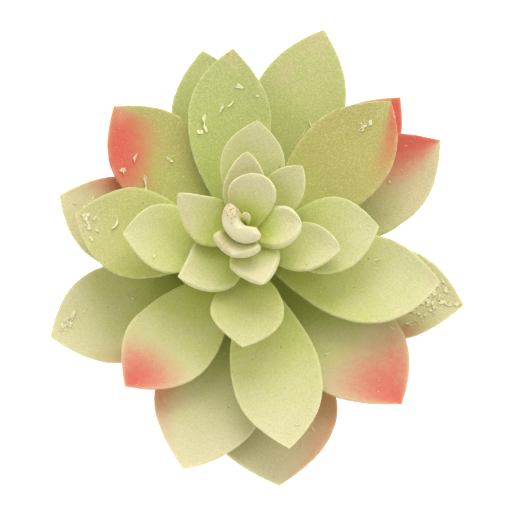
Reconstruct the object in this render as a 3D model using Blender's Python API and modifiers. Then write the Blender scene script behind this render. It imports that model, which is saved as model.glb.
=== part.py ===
"""A rosette succulent in a plain clay pot. Blender 4.5, metres, +Z up.

The origin is on the surface that the pot stands on, under the middle of the plant. The pot, the
soil and the stem are turned shapes. Every leaf is a sphere drawn out into a fleshy, cupped blade,
and the leaves are rooted on the stem in one rising spiral.
"""
import math

import bmesh
import bpy
from mathutils import Vector

MM = 0.001
GAP = 0.3 * MM                  # clearance between pieces that touch
MERGE = 0.01 * MM               # merge distance of the turned shapes
SHARP = math.radians(40)        # edges steeper than this stay crisp

# Pot
POT_HEIGHT = 50.0 * MM
POT_RIM_RADIUS = 31.0 * MM      # outside of the collar, at the rim
POT_FOOT_RADIUS = 20.5 * MM
POT_WALL = 3.0 * MM
POT_FLOOR = 4.5 * MM
POT_EDGE = 0.8 * MM             # rounding of the pot's corners
COLLAR_HEIGHT = 12.0 * MM
COLLAR_TAPER = 1.0 * MM         # how much the collar narrows from the rim down
COLLAR_STEP = 2.0 * MM          # how far the collar stands out from the tapered body
DRAIN_RADIUS = 4.0 * MM
POT_STEPS = 48

# Soil
SOIL_BELOW_RIM = 6.0 * MM
SOIL_CROWN = 1.2 * MM           # how much the soil rises towards the middle
SOIL_STEPS = 40

# Stem
STEM_AXIS = Vector((-3.4 * MM, -0.6 * MM, 0.0))   # the plant stands a little to one side of the pot
STEM_RADIUS = 4.2 * MM
STEM_TOP_RADIUS = 1.3 * MM
STEM_DEPTH = 12.0 * MM          # how far it is rooted in the soil
STEM_EDGE = 1.0 * MM
STEM_STEPS = 20

# Leaves
FIRST_ROOT = 5.0 * MM           # lowest leaf's root, above the pot's rim
LEAF_THICKNESS = 3.2 * MM       # of a leaf of FULL_WIDTH, at its thickest
FULL_WIDTH = 26.0 * MM
SPIRAL_SHARE = 0.265            # rise of the spiral from leaf to leaf, as a share of that thickness
LEAF_TOP_SHARE = 0.25           # share of the thickness that is above the blade's middle
WIDEST_AT = 0.62                # where along the leaf it is widest
ROOT_SHARE = 0.18               # a leaf's width at its root, as a share of its widest
ROOT_GAP = 0.6 * MM             # from the stem to a leaf's flat root, which is tilted
LEAF_SIDES = 12
LEAF_STATIONS = (0.0, 0.0, 0.08, 0.2, 0.34, 0.48, 0.62, 0.74, 0.84, 0.92, 0.97, 1.0)

# The leaves from the lowest to the highest. Heading is in degrees from +X. Reach is from the
# stem's axis to the tip, and rise from the root to the tip. Sag is how far the middle hangs below
# the straight line, and sway how far it bows to the leaf's left. Cup is how far the edges curl up,
# as a share of half the width. Lengths are in millimetres.
LEAVES = (
    # name, heading, reach, rise, width, sag, sway, cup
    ("skirt_leaf_1", -81.5, 59, 5, 33, 3, 1, 0.10),
    ("skirt_leaf_2", 47.5, 59.5, 4, 22, 3, 0, 0.10),
    ("skirt_leaf_3", 204, 52, 4, 26, 3, 0, 0.10),
    ("skirt_leaf_4", -14, 56, 5, 25, 3, 0, 0.10),
    ("skirt_leaf_5", 101, 56, 6, 23, 3, 0, 0.12),
    ("skirt_leaf_6", 162, 48.5, 5, 24, 3, 1, 0.10),
    ("lower_leaf_1", 255.5, 57, 3.5, 27, 2.5, 1.5, 0.12),
    ("lower_leaf_2", 31, 58, 3.5, 25, 3, -1, 0.12),
    ("lower_leaf_3", -46, 55, 3.5, 26, 3, 2, 0.12),
    ("lower_leaf_4", 71, 63, 4.5, 24, 2.5, 0, 0.12),
    ("lower_leaf_5", 131, 50, 4.5, 24, 2.5, 0, 0.12),
    ("lower_leaf_6", 45, 52, 9, 23.5, 1.5, -1.7, 0.14),
    ("middle_leaf_1", 232, 46, 4, 22, 3, 1, 0.14),
    ("middle_leaf_2", 93, 51, 8, 21, 2.5, 2, 0.12),
    ("middle_leaf_3", -78, 53, 3, 22, 3, 1, 0.14),
    ("middle_leaf_4", -12, 49, 3, 23, 3, -2.2, 0.16),
    ("middle_leaf_5", 170, 42, 3, 23.5, 3, 1.5, 0.14),
    ("inner_leaf_1", 270, 29, 8, 18, 2, 1, 0.20),
    ("inner_leaf_2", 181, 29, 8, 18, 2, 0, 0.16),
    ("inner_leaf_3", 3, 33, 6, 20, 2, -0.5, 0.16),
    ("inner_leaf_4", 83, 28, 10, 16, 2, 0, 0.16),
    ("crown_leaf_1", 217, 19, 6, 14.5, 2, 1.5, 0.20),
    ("crown_leaf_2", -12, 24, 6, 13, 2, 0, 0.18),
    ("crown_leaf_3", 47, 21, 8, 10, 2, 0, 0.16),
    ("crown_leaf_4", 153, 17, 8, 11.5, 2, -1, 0.16),
    ("crown_leaf_5", 87, 18, 9, 11, 2, 0, 0.16),
    ("heart_leaf_1", -76, 14, 4, 11, 1, 0, 0.20),
    ("heart_leaf_2", 0, 14, 5, 9.5, 1, 0, 0.25),
    ("heart_leaf_3", 75, 12, 8, 11, 1, -1, 0.20),
    ("bud_leaf_1", 262, 8, 3.5, 10, 0.5, 0, 0.40),
    ("bud_leaf_2", 240, 4.5, 5, 9.5, 0, 0, 0.85),
    ("bud_leaf_3", 65, 3, 6, 3.2, 0, 0, 0.30),
)


def clear_scene():
    for old in list(bpy.data.objects):
        bpy.data.objects.remove(old, do_unlink=True)


def new_collection(name):
    made = bpy.data.collections.new(name)
    bpy.context.scene.collection.children.link(made)
    return made


def plain_material(name, colour, roughness):
    made = bpy.data.materials.new(name)
    made.use_nodes = True
    shader = made.node_tree.nodes["Principled BSDF"]
    shader.inputs["Base Color"].default_value = (*colour, 1.0)
    shader.inputs["Roughness"].default_value = roughness
    shader.inputs["Metallic"].default_value = 0.0
    return made


def mesh_object(name, mesh, skin, collection):
    made = bpy.data.objects.new(name, mesh)
    mesh.materials.append(skin)
    collection.objects.link(made)
    return made


def turned(name, profile, steps, skin, collection):
    """A solid turned about +Z. A profile that leaves the axis is closed on itself."""
    links = [(i, i + 1) for i in range(len(profile) - 1)]
    if profile[0][0] > 0.0:
        links.append((len(profile) - 1, 0))
    mesh = bpy.data.meshes.new(name)
    mesh.from_pydata([(radius, 0.0, height) for radius, height in profile], links, [])
    made = mesh_object(name, mesh, skin, collection)
    screw = made.modifiers.new("Turn", "SCREW")
    screw.steps = steps
    screw.render_steps = steps
    screw.use_merge_vertices = True
    screw.merge_threshold = MERGE
    return made


# The pot

def body_top():
    """The height of the step under the collar."""
    return POT_HEIGHT - COLLAR_HEIGHT


def inner_radius(height):
    """The inside of the pot's tapered wall at this height."""
    shoulder = POT_RIM_RADIUS - COLLAR_TAPER - COLLAR_STEP
    slope = (shoulder - POT_FOOT_RADIUS) / (body_top() - POT_EDGE)
    return POT_FOOT_RADIUS + slope * (height - POT_EDGE) - POT_WALL


def pot_profile():
    """Down the outside from the rim, across the foot, up the drain hole and up the inside."""
    collar_foot = POT_RIM_RADIUS - COLLAR_TAPER
    rim_inside = inner_radius(POT_HEIGHT)
    floor_corner = POT_FLOOR + POT_EDGE
    return (
        (POT_RIM_RADIUS - POT_EDGE, POT_HEIGHT),
        (POT_RIM_RADIUS, POT_HEIGHT - POT_EDGE),
        (collar_foot, body_top() + POT_EDGE),
        (collar_foot - POT_EDGE, body_top()),
        (collar_foot - COLLAR_STEP, body_top()),
        (POT_FOOT_RADIUS, POT_EDGE),
        (POT_FOOT_RADIUS - POT_EDGE, 0.0),
        (DRAIN_RADIUS, 0.0),
        (DRAIN_RADIUS, POT_FLOOR),
        (inner_radius(floor_corner) - POT_EDGE, POT_FLOOR),
        (inner_radius(floor_corner), floor_corner),
        (inner_radius(POT_HEIGHT - POT_EDGE), POT_HEIGHT - POT_EDGE),
        (rim_inside + POT_EDGE, POT_HEIGHT),
    )


# The soil

def soil_top():
    return POT_HEIGHT - SOIL_BELOW_RIM


def soil_profile():
    """From the middle of the top out to the wall, down the wall, and back under."""
    bottom = POT_FLOOR + GAP
    corner = POT_FLOOR + POT_EDGE
    wide = inner_radius(soil_top()) - GAP
    narrow = inner_radius(corner) - GAP
    return (
        (0.0, soil_top() + SOIL_CROWN),
        (0.5 * wide, soil_top() + 0.75 * SOIL_CROWN),
        (0.85 * wide, soil_top() + 0.2 * SOIL_CROWN),
        (wide, soil_top()),
        (narrow, corner + GAP),
        (narrow - POT_EDGE, bottom),
        (0.0, bottom),
    )


def cut_stem_socket(soil, helpers):
    """Cuts the hole that the stem stands in, with a clearance all round."""
    height = STEM_DEPTH + SOIL_CROWN + 2 * GAP + STEM_EDGE
    mesh = bpy.data.meshes.new("stem_socket")
    build = bmesh.new()
    bmesh.ops.create_cone(
        build,
        cap_ends=True,
        segments=STEM_STEPS,
        radius1=STEM_RADIUS + GAP,
        radius2=STEM_RADIUS + GAP,
        depth=height,
    )
    build.to_mesh(mesh)
    build.free()
    cutter = bpy.data.objects.new("stem_socket", mesh)
    cutter.location = STEM_AXIS + Vector((0.0, 0.0, stem_foot() - GAP + height / 2))
    cutter.hide_render = True
    cutter.display_type = "WIRE"
    helpers.objects.link(cutter)
    cut = soil.modifiers.new("Stem socket", "BOOLEAN")
    cut.operation = "DIFFERENCE"
    cut.solver = "EXACT"
    cut.object = cutter


# The stem

def root_height(index):
    """Where the leaf of this place in the spiral is rooted."""
    return POT_HEIGHT + FIRST_ROOT + index * SPIRAL_SHARE * LEAF_THICKNESS


def stem_foot():
    return soil_top() - STEM_DEPTH


def stem_top():
    """The last leaf stands on the stem's end."""
    return root_height(len(LEAVES) - 1) - STEM_TOP_RADIUS


def stem_radius(height):
    """The stem keeps its girth up to the first leaf, then tapers to its top."""
    if height > stem_top():
        return 0.0
    start = root_height(0)
    share = min(1.0, max(0.0, (height - start) / (stem_top() - start)))
    return STEM_RADIUS + (STEM_TOP_RADIUS - STEM_RADIUS) * share


def stem_profile():
    """From the middle of the top down the tapering side to the foot."""
    top, foot = stem_top(), stem_foot()
    return (
        (0.0, top),
        (STEM_TOP_RADIUS - 0.5 * STEM_EDGE, top),
        (stem_radius(top - STEM_EDGE), top - STEM_EDGE),
        (STEM_RADIUS, root_height(0)),
        (STEM_RADIUS, foot + STEM_EDGE),
        (STEM_RADIUS - STEM_EDGE, foot),
        (0.0, foot),
    )


# The leaves

def blade_share(t):
    """The blade's width along the leaf, as a share of its widest: a spoon with a pointed tip."""
    if t < WIDEST_AT:
        widening = math.sin(0.5 * math.pi * t / WIDEST_AT) ** 1.4
        return ROOT_SHARE + (1.0 - ROOT_SHARE) * widening
    return (1.0 - ((t - WIDEST_AT) / (1.0 - WIDEST_AT)) ** 2.0) ** 0.85


def flesh_share(t):
    """The leaf's thickness along it, as a share of its thickest: slim at both ends."""
    return math.sin(math.pi * (0.12 + 0.83 * t))


class Leaf:
    """The lines that shape one leaf: its path from the root to the tip, and its sections."""

    def __init__(self, index, heading, reach, rise, width, sag, sway, cup):
        turn = math.radians(heading)
        self.out = Vector((math.cos(turn), math.sin(turn), 0.0))
        self.left = Vector((-math.sin(turn), math.cos(turn), 0.0))
        height = root_height(index)
        foot = STEM_AXIS + Vector((0.0, 0.0, height))
        self.root = foot + self.out * (stem_radius(height) + ROOT_GAP)
        self.tip = foot + self.out * reach * MM + Vector((0.0, 0.0, rise * MM))
        self.bow = self.left * sway * MM - Vector((0.0, 0.0, sag * MM))
        self.width = width * MM
        self.cup = cup
        self.thickness = LEAF_THICKNESS * (self.width / FULL_WIDTH) ** 0.6

    def path(self, t):
        return self.root.lerp(self.tip, t) + self.bow * 4.0 * t * (1.0 - t)

    def frame(self, t):
        """Unit vectors across the blade, to its left, and out of its upper face."""
        along = (self.tip - self.root + self.bow * 4.0 * (1.0 - 2.0 * t)).normalized()
        across = Vector((0.0, 0.0, 1.0)).cross(along).normalized()
        return across, along.cross(across)

    def point(self, t, angle):
        """The point of the skin at this share of the path and this angle round the section."""
        across, up = self.frame(t)
        half_width = 0.5 * self.width * blade_share(t)
        flesh = self.thickness * flesh_share(t)
        side = math.cos(angle)
        depth = math.sin(angle) * flesh
        depth *= LEAF_TOP_SHARE if depth > 0.0 else 1.0 - LEAF_TOP_SHARE
        curl = self.cup * half_width * side * side
        return self.path(t) + across * half_width * side + up * (depth + curl)


def leaf_object(index, row, skin, collection):
    """A sphere whose rings become the leaf's sections and whose poles are its root and tip."""
    name, *shape = row
    leaf = Leaf(index, *shape)
    build = bmesh.new()
    rings = len(LEAF_STATIONS) - 1
    bmesh.ops.create_uvsphere(build, u_segments=LEAF_SIDES, v_segments=rings, radius=1.0)
    for vert in build.verts:
        ring = round(math.acos(max(-1.0, min(1.0, -vert.co.z))) / math.pi * rings)
        t = LEAF_STATIONS[ring]
        if ring in (0, rings):
            vert.co = leaf.path(t)
        else:
            vert.co = leaf.point(t, math.atan2(vert.co.y, vert.co.x))
    mesh = bpy.data.meshes.new(name)
    build.to_mesh(mesh)
    build.free()
    mesh.shade_smooth()
    mesh.set_sharp_from_angle(angle=SHARP)
    return mesh_object(name, mesh, skin, collection)


def main():
    clear_scene()
    plant = new_collection("potted_succulent")
    helpers = new_collection("cutters")
    clay = plain_material("clay", (0.62, 0.30, 0.18), 0.85)
    earth = plain_material("soil", (0.10, 0.07, 0.05), 0.95)
    bark = plain_material("stem", (0.45, 0.42, 0.22), 0.7)
    flesh = plain_material("leaf", (0.62, 0.68, 0.34), 0.5)
    turned("pot", pot_profile(), POT_STEPS, clay, plant)
    soil = turned("soil", soil_profile(), SOIL_STEPS, earth, plant)
    cut_stem_socket(soil, helpers)
    stem = turned("stem", stem_profile(), STEM_STEPS, bark, plant)
    stem.location = STEM_AXIS
    for index, row in enumerate(LEAVES):
        leaf_object(index, row, flesh, plant)


main()
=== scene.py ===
# %% [markdown]
# # A potted succulent
#
# The subject is a small rosette plant: thick, waxy, pale green leaves in a rising spiral, with coral
# red on the tips that have had the most sun. It stands in a plain clay pot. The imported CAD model
# says where everything is and how big it is. This lesson gives every piece its living shape and skin.
#
# All lengths are in metres. `MM` lets small sizes be written as a gardener would say them.

import math
import random

import bmesh
import bpy
from mathutils import Matrix, Vector, noise


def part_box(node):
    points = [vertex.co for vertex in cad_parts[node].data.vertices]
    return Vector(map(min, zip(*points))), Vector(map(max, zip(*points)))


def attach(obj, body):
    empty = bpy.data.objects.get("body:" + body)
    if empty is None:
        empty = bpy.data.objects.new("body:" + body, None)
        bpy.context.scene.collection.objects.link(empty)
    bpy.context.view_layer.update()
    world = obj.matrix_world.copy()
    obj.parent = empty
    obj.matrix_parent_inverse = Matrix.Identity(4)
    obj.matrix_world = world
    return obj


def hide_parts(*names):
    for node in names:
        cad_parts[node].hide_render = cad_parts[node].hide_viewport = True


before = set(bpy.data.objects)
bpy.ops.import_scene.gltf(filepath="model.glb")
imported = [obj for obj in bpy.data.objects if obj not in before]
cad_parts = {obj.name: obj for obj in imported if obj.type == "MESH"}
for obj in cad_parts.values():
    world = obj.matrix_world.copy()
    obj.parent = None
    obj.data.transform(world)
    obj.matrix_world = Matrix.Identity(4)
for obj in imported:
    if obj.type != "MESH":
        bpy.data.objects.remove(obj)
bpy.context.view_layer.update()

MM = 0.001
pot_low, pot_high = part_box("pot")
soil_low, soil_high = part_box("soil")
stem_low, stem_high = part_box("stem")
leaf_nodes = sorted(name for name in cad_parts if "leaf" in name)
print("leaves:", len(leaf_nodes))

# %% [markdown]
# ## The camera
#
# The plant is seen from high in front, 70 degrees above the horizon. A flower shape like this is
# flattered by a long lens from half a metre away, because near and far leaves then keep nearly the
# same scale. The camera could be turned with a Track To constraint, but its axes are worked out here
# instead, so that the bud can be put a little off the middle of the frame without any lens shift.

# %% Place the camera
PIVOT = Vector(((stem_low.x + stem_high.x) / 2, (stem_low.y + stem_high.y) / 2, 82.0 * MM))
CAMERA_RISE = math.radians(70.0)
CAMERA_AWAY = 500.0 * MM
FRAME_WIDTH = 122.9 * MM        # how much of the plant's plane the frame takes in
BUD_LEFT = 3.1 * MM             # the bud is this far left of the middle of the frame,
BUD_ABOVE = 7.2 * MM            # and this far above it
SENSOR = 36.0


def add_object(name, data):
    """A new object in the scene, at the origin."""
    made = bpy.data.objects.new(name, data)
    bpy.context.scene.collection.objects.link(made)
    return made



towards_eye = Vector((0.0, -math.cos(CAMERA_RISE), math.sin(CAMERA_RISE)))
frame_right = Vector((1.0, 0.0, 0.0))
frame_up = towards_eye.cross(frame_right)
aim = PIVOT + frame_right * BUD_LEFT - frame_up * BUD_ABOVE

camera_data = bpy.data.cameras.new("camera")
camera_data.sensor_width = SENSOR
camera_data.lens = SENSOR * CAMERA_AWAY / FRAME_WIDTH
camera_data.clip_start = 0.01
camera = add_object("camera", camera_data)
axes = Matrix((frame_right, frame_up, towards_eye)).transposed().to_4x4()
camera.matrix_world = Matrix.Translation(aim + towards_eye * CAMERA_AWAY) @ axes
bpy.context.scene.camera = camera
print("lens, mm:", round(camera_data.lens, 1))

# %% [markdown]
# ## Floor and light
#
# The plant stands on a plain white table. The light is a wide soft box high behind it, so that the
# leaves at the back glow down to their roots while those in front lie in the shade of the bud. Fill
# boxes at the sides and in front keep that shade soft, and a pale sky lights the rest.

# %% Floor
def node_material(name):
    """A new material, with its node tree and its Principled shader."""
    made = bpy.data.materials.new(name)
    made.use_nodes = True
    return made, made.node_tree, made.node_tree.nodes["Principled BSDF"]


TABLE_GLOW = 0.3               # the table glows faintly, like a light table
table_paint, _, shader = node_material("table_paint")
shader.inputs["Base Color"].default_value = (0.93, 0.93, 0.93, 1.0)
shader.inputs["Roughness"].default_value = 0.9
shader.inputs["Emission Color"].default_value = (1.0, 1.0, 1.0, 1.0)
shader.inputs["Emission Strength"].default_value = TABLE_GLOW
TABLE_HALF = 12.0               # metres, so that the table's end stays out of sight
table_mesh = bpy.data.meshes.new("table_top")
corners = [(TABLE_HALF * x, TABLE_HALF * y, 0.0) for x, y in ((-1, -1), (1, -1), (1, 1), (-1, 1))]
table_mesh.from_pydata(corners, [], [(0, 1, 2, 3)])
table_mesh.materials.append(table_paint)
table_top = add_object("table_top", table_mesh)
print("table:", 2 * TABLE_HALF, "m square")


# %% Lights
BOX_SIDE = 0.8                  # metres


def soft_box(name, place, power):
    """A square area light at `place` that faces the plant."""
    lamp = bpy.data.lights.new(name, "AREA")
    lamp.shape = "SQUARE"
    lamp.size = BOX_SIDE
    lamp.energy = power
    away = Vector(place) - PIVOT
    turned = away.to_track_quat("Z", "Y").to_matrix().to_4x4()
    add_object(name, lamp).matrix_world = Matrix.Translation(place) @ turned


soft_box("key_box", (0.1, 0.72, 0.66), 6.8)
soft_box("left_box", (-0.8, 0.1, 0.6), 2.2)
soft_box("right_box", (0.8, 0.1, 0.6), 2.2)
soft_box("front_box", (0.0, -0.9, 0.7), 1.9)
SKY = 0.62
sky = bpy.data.worlds.new("sky")
sky.use_nodes = True
dome = sky.node_tree.nodes["Background"]
dome.inputs["Color"].default_value = (1.0, 1.0, 1.0, 1.0)
dome.inputs["Strength"].default_value = SKY
bpy.context.scene.world = sky
bpy.context.scene.view_settings.view_transform = "Standard"

# %% [markdown]
# ## How one leaf is measured
#
# A succulent leaf is a water store: a fleshy spoon, narrow where it leaves the stem, widest past its
# middle, and closing to a small point. It could be sculpted, or cut from a subdivided plane, but
# thirty of them that must lie over each other without touching are easier to keep in order when each
# is a formula: a line from root to tip, and a section that is swept along it. The rows run from the
# lowest leaf on the stem to the highest. Those of the outer turns are the CAD leaves' own.

# %% The leaves of the rosette
FIRST_ROOT = 5.0 * MM           # the lowest leaf's root, above the pot's rim
LEAF_THICKNESS = 3.2 * MM       # of a leaf of FULL_WIDTH
FULL_WIDTH = 26.0 * MM
SPIRAL_RISE = 0.265 * LEAF_THICKNESS
STEM_RADIUS = (stem_high.x - stem_low.x) / 2
STEM_TOP_RADIUS = 1.3 * MM
ROOT_GAP = 0.6 * MM
WIDEST_AT = 0.62


def each_leaf(**turns):
    """One value for each leaf, by name, from a row of values for each turn of the spiral."""
    return {f"{turn}_leaf_{place}": value
            for turn, row in turns.items() for place, value in enumerate(row, 1)}


# heading in degrees from +X, reach from the stem's axis, rise, width, sag and sway in millimetres,
# and cup, which is how far the edges curl up as a share of half the width
LEAVES = each_leaf(
    skirt=((-81.5, 59, 5, 33, 3, 1, 0.1), (47.5, 59.5, 4, 22, 3, 0, 0.1), (204, 52, 4, 26, 3, 0, 0.1),
           (-14, 56, 5, 25, 3, 0, 0.1), (101, 56, 6, 23, 3, 0, 0.12), (162, 48.5, 5, 24, 3, 1, 0.1)),
    lower=((255.5, 57, 3.5, 27, 2.5, 1.5, 0.12), (31, 58, 3.5, 25, 3, -1, 0.12),
           (-46, 55, 3.5, 26, 3, 2, 0.12), (71, 63, 4.5, 24, 2.5, 0, 0.12),
           (131, 50, 4.5, 24, 2.5, 0, 0.12), (45, 52, 9, 23.5, 1.5, -1.7, 0.14)),
    middle=((232, 46, 4, 22, 3, 1, 0.14), (93, 51, 8, 21, 2.5, 2, 0.12), (-78, 53, 3, 22, 3, 1, 0.14),
            (-12, 49, 3, 23, 3, -2.2, 0.16), (170, 42, 3, 23.5, 3, 1.5, 0.14)),
    inner=((270, 29, 8, 18, 2, 1, 0.2), (181, 29, 8, 18, 2, 0, 0.16), (3, 33, 6, 20, 2, -0.5, 0.16),
           (83, 28, 10, 16, 2, 0, 0.16)),
)
OUTER_HABIT = (1.0, 1.0, 0.18, WIDEST_AT)
# The young leaves at the heart are blunter, plumper, broader at the root and more rolled than their
# plain CAD solids. Each row has the same seven numbers, then the leaf's habit: the power that closes
# the tip, where 1 is sharp and 0.5 is round, its plumpness against an outer leaf of its width, its
# root's share of the width, and how far along it is widest. The outer leaves share OUTER_HABIT.
LEAVES |= each_leaf(
    crown=((217, 19.5, 6, 14.5, 2, 1.5, 0.2, 1.0, 1.15, 0.45, 0.46),
           (-12, 24, 6, 13.0, 2, 0, 0.22, 0.9, 1.15, 0.4, 0.58),
           (47, 21, 8, 10.5, 2, 0, 0.2, 0.85, 1.15, 0.4, 0.62),
           (153, 17.5, 8, 12.5, 2, 1.0, 0.16, 0.82, 1.2, 0.6, 0.42),
           (87, 18, 9, 11.0, 2, 0, 0.2, 0.7, 1.3, 0.5, 0.5)),
    heart=((-72, 15.2, 4, 12.5, 1, 0.4, 0.26, 0.9, 1.4, 0.6, 0.46),
           (0, 14, 5, 11.2, 1, 0, 0.42, 0.54, 1.5, 0.6, 0.6),
           (78, 12, 8, 11.8, 1, -0.5, 0.16, 0.5, 1.4, 0.6, 0.62)),
    bud=((252, 8.2, 3.6, 12.4, 0.5, 0, 0.46, 0.55, 1.45, 0.6, 0.6),
         (222, 3.0, 5.4, 12.0, 0, 0, 0.68, 0.42, 2.2, 0.7, 0.62),
         (60, 2.0, 5.0, 2.4, 0, 0, 0.25, 0.55, 1.4, 0.7, 0.62)),
)
print("rows:", len(LEAVES), "all in the frame:", sorted(LEAVES) == leaf_nodes)


# %% The line and the section of a leaf
FULL_TURN = 2.0 * math.pi
BLADE_CLOSES = 2.3              # the power by which an outer blade narrows past its widest


def spoke(turn):
    """A flat unit vector at this turn from +X."""
    return Vector((math.cos(turn), math.sin(turn), 0.0))


def root_height(index):
    return pot_high.z + FIRST_ROOT + index * SPIRAL_RISE


def stem_radius(height):
    """The stem keeps its girth up to the first leaf, then tapers to the growing point."""
    top = root_height(len(LEAVES) - 1) - STEM_TOP_RADIUS
    if height > top:
        return 0.0
    share = min(1.0, max(0.0, (height - root_height(0)) / (top - root_height(0))))
    return STEM_RADIUS + (STEM_TOP_RADIUS - STEM_RADIUS) * share


def blade_share(t, tip_power, root_share, widest_at):
    """The blade's width along the leaf, as a share of its widest. A lower power is a blunter tip."""
    t = max(0.0, t)
    if t < widest_at:
        return root_share + (1.0 - root_share) * math.sin(0.5 * math.pi * t / widest_at) ** 1.4
    past = (t - widest_at) / (1.0 - widest_at)
    return max(0.0, 1.0 - past ** (BLADE_CLOSES * widest_at / WIDEST_AT)) ** tip_power


def flesh_share(t):
    """The leaf's thickness along it, as a share of its thickest."""
    return math.sin(math.pi * (0.12 + 0.83 * max(0.0, t)))


class Leaf:
    """The lines that shape one leaf. t runs from 0 at the root to 1 at the tip."""

    def __init__(self, name):
        heading, reach, rise, width, sag, sway, self.cup, *habit = LEAVES[name]
        self.tip_power, self.plump, *self.outline = habit or OUTER_HABIT
        self.name = name
        self.index = list(LEAVES).index(name)
        out = spoke(math.radians(heading))
        left = Vector((-out.y, out.x, 0.0))
        height = root_height(self.index)
        foot = Vector((PIVOT.x, PIVOT.y, height))
        self.root = foot + out * (stem_radius(height) + ROOT_GAP)
        self.tip = foot + out * reach * MM + Vector((0.0, 0.0, rise * MM))
        self.bow = left * sway * MM - Vector((0.0, 0.0, sag * MM))
        self.width = width * MM
        self.thickness = LEAF_THICKNESS * (self.width / FULL_WIDTH) ** 0.6 * self.plump
        self.length = (self.tip - self.root).length

    def half_width(self, t):
        return 0.5 * self.width * blade_share(t, self.tip_power, *self.outline)

    def path(self, t):
        return self.root.lerp(self.tip, t) + self.bow * 4.0 * t * (1.0 - t)

    def frame(self, t):
        """Unit vectors across the blade, to its left, and out of its upper face."""
        along = (self.tip - self.root + self.bow * 4.0 * (1.0 - 2.0 * t)).normalized()
        across = Vector((0.0, 0.0, 1.0)).cross(along).normalized()
        return across, along.cross(across)


print("longest leaf, mm:", round(max(Leaf(n).length for n in LEAVES) / MM, 1))

# %% [markdown]
# ## From a smooth spoon to a real leaf
#
# A formula alone looks moulded. A living leaf has an edge that wavers, a blunt rim as thick as a
# fingernail's, a faint keel underneath, dents where it grew against a neighbour, grains of wax on
# its skin, and a small hard point. Each of these is a millimetre or less, and each is added to the
# section while it is swept. The blade is rolled into an arc, so that it keeps its thickness however
# tightly a bud leaf is cupped. The relief comes from Blender's noise functions, seeded by the leaf's
# place in the spiral, so that no two leaves match and every run gives the same plant.

# %% The living section
TOP_SHARE = 0.25                # of the thickness, above the middle of an outer blade
MOST_TOP_SHARE = 0.45           # the same for the plumpest leaf
EDGE_WAVER = 0.024              # of half the width
RAGGED = 0.1 * MM              # of the rim, from one grain of wax to the next
DENT = 0.3 * MM
GRAIN = 0.05 * MM
TIP_ROUNDS_AT = 0.88            # from here on the flesh closes to the tip in a quarter round
POINT_LENGTH = 0.5 * MM
SIDE_POWER = 0.92               # squares the section off: 1 is an ellipse, and less is boxier
FACE_POWER = 0.68


def soft_step(low, high, value):
    """0 below low, 1 above high, and a smooth curve between."""
    share = min(1.0, max(0.0, (value - low) / (high - low)))
    return share * share * (3.0 - 2.0 * share)


def living_flesh(leaf, t):
    """Thicker towards the tip than the plain section, then closed in a round."""
    held = flesh_share(t) ** (0.75 / leaf.plump)
    over = max(0.0, (t - TIP_ROUNDS_AT) / (1.0 - TIP_ROUNDS_AT))
    return leaf.thickness * held * math.sqrt(max(0.0, 1.0 - over * over))


def living_point(leaf, t, angle):
    """The point of the skin at this share of the line and this angle round the section."""
    across, up = leaf.frame(t)
    seed = 7.3 * leaf.index
    side = math.copysign(abs(math.cos(angle)) ** SIDE_POWER, math.cos(angle))
    face = math.copysign(abs(math.sin(angle)) ** (FACE_POWER / leaf.plump ** 0.5), math.sin(angle))
    half = leaf.half_width(t)
    edge = 1.0 if side > 0.0 else -1.0
    waver = noise.noise(Vector((seed, 4.0 * t, 2.0 * edge)))
    waver += 0.4 * noise.noise(Vector((seed, 15.0 * t, 5.0 * edge)))
    half *= 1.0 + EDGE_WAVER * waver
    rag = noise.noise(Vector((seed, t * leaf.length / (0.7 * MM), 9.0 * edge)))
    half += RAGGED * min(1.0, half / MM) * rag
    top_share = min(MOST_TOP_SHARE, TOP_SHARE * leaf.plump)
    depth = face * living_flesh(leaf, t) * (top_share if face > 0.0 else 1.0 - top_share)
    place = Vector((seed + 90.0 * t * leaf.length, 90.0 * half * side, 40.0 * face * leaf.thickness))
    dent = DENT * min(1.0, half / (4.0 * MM)) * noise.noise(place)
    roll = 2.0 * leaf.cup
    skin_way = up * math.cos(roll * side) - across * math.sin(roll * side)
    rolled = across * math.sin(roll * side) + up * (1.0 - math.cos(roll * side))
    point = leaf.path(t) + rolled * half / roll + skin_way * (depth + dent)
    grain = noise.noise(point / (0.8 * MM)) + 0.6 * noise.noise(point / (0.4 * MM))
    return point + skin_way * GRAIN * grain * (1.0 if face > 0.0 else -1.0)


print("skin of the longest leaf's middle, mm:",
      [round(c / MM, 2) for c in living_point(Leaf("lower_leaf_4"), 0.5, 1.5)])

# %% [markdown]
# ## Where the colour goes
#
# The colour of a leaf follows its growth. It is deepest at the root, where the skin is young and
# shaded, and pales towards the tip and the rim, where a powdery wax builds up. Old outer leaves turn
# from green to straw. Where the sun caught a tip, it blushes coral red, and the blush fades into the
# green as if it had been sprayed. A texture could be painted for each leaf, but the same facts are
# simple sums of the leaf's own coordinates, so they are stored on the mesh as named attributes that
# the material reads. A leaf that a table leaves out has 0 there.

# %% Age and blush of each leaf
# from -1, fresh and deep green, to +1, old and straw coloured
LEAF_AGE = each_leaf(skirt=(0.6, 0.5, 0.15, 0.4, -0.6, 0.5), lower=(0.3, 0.9, 0.75, -0.9, 0.0, 0.2),
                     middle=(0.3, -1.0, 0.2, 0.1, 0.1), inner=(-0.2,))
# how far the green is darkened to olive: partly the leaf's own duller colour, partly painted shade on
# leaves that face away from the light
DULLED_AND_SHADED = each_leaf(lower=(0.0, 0.0, 0.0, 0.15, 0.8, 0.9), middle=(0.0, 0.0, 0.0, 0.0, 0.35), inner=(0.2,))
# how much pale bloom lies on the outer half
BLOOM = each_leaf(skirt=(0.45, 0.0, 0.4, 0.2, 0.0, 0.2), lower=(0.6, 0.1, 0.35, 0.15),
                  middle=(0.4, 0.1, 0.35, 0.3), inner=(0.15, 0.2, 0.25, 0.3),
                  crown=(0.4, 0.45, 0.3, 0.6, 0.45), heart=(0.85, 0.6, 0.65), bud=(0.7, 1.3, 0.3))

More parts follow.
